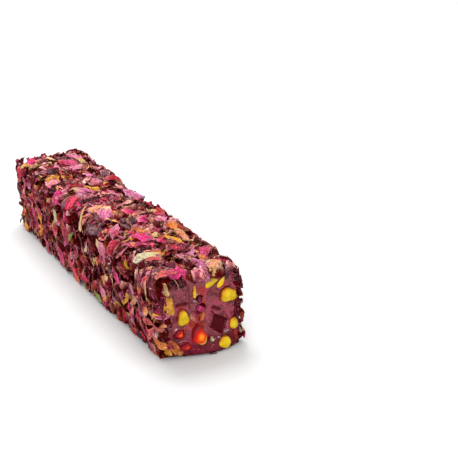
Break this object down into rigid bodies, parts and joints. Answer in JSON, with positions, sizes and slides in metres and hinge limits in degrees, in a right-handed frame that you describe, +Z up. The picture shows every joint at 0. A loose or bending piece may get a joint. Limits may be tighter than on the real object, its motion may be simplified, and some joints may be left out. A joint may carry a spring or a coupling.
{
  "type": "turkish delight bar",
  "caption": "Soft jelly sweet in a squarish bar, pressed all over with dried rose petals and cut square at both ends, where whole pistachio kernels show in the glossy red jelly.",
  "frame": {"origin": "centre of the bar's footprint, on the surface that it rests on", "axes": "+Y along the bar, from the shown cut end at -Y towards the other cut end at +Y; +X to the right of somebody who looks along +Y; +Z up"},
  "size_m": [0.0439, 0.2084, 0.0414],
  "materials": {
    "petal_coat": "dry crumpled rose petals, pink, crimson and dark maroon with a few golden and cream ones",
    "jelly": "glossy burgundy jelly on the cut ends and in the gaps between petals",
    "pistachio": "cut pistachio kernel, yellow-green",
    "glazed_pistachio": "pistachio kernel under a film of red jelly, glossy orange-red"
  },
  "bodies": {
    "root": {"petal_coated_bar": "petal_coat", "front_pistachio_1": "pistachio", "front_pistachio_2": "pistachio", "front_pistachio_3": "pistachio", "front_pistachio_4": "pistachio", "front_pistachio_5": "pistachio", "front_pistachio_6": "pistachio", "front_pistachio_7": "pistachio", "front_glazed_1": "glazed_pistachio", "front_glazed_2": "glazed_pistachio", "front_glazed_3": "glazed_pistachio", "back_pistachio_1": "pistachio", "back_pistachio_2": "pistachio", "back_pistachio_3": "pistachio", "back_pistachio_4": "pistachio", "back_pistachio_5": "pistachio", "back_pistachio_6": "pistachio", "back_glazed_1": "glazed_pistachio", "back_glazed_2": "glazed_pistachio"}
  },
  "joints": []
}
